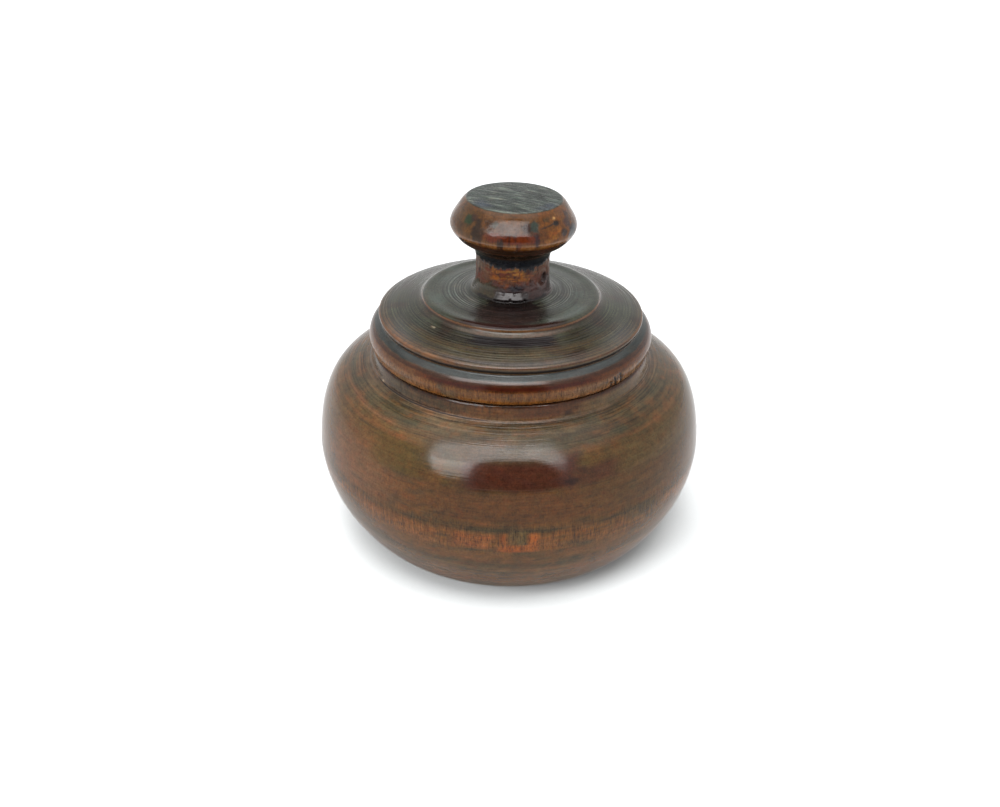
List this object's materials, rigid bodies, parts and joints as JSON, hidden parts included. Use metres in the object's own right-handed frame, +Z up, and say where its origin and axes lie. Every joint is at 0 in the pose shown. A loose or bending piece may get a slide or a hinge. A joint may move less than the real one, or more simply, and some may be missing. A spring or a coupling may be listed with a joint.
{
  "type": "lidded spice pot",
  "caption": "Turned wooden pot with a rounded belly, a low collar and a lift-off lid with a waisted, flat-topped knob.",
  "frame": {"origin": "centre of the flat foot that the pot stands on", "axes": "+Z up along the turning axis of the pot and lid; the object is round, so +X and +Y are free"},
  "size_m": [0.085, 0.085, 0.0796],
  "materials": {
    "pot_wood": "old dark varnish over lathe-turned wood, glossy, olive-brown with red-brown bands",
    "lid_wood": "old dark varnish over lathe-turned wood, glossy, grey-olive top, orange-brown where the edges are worn"
  },
  "bodies": {
    "pot": {"pot": "pot_wood"},
    "lid": {"lid": "lid_wood"}
  },
  "joints": [
    {"name": "lid_lift", "type": "slide", "parent": "pot", "child": "lid", "axis": [0, 0, 1], "range_m": [0, 0.08]}
  ]
}
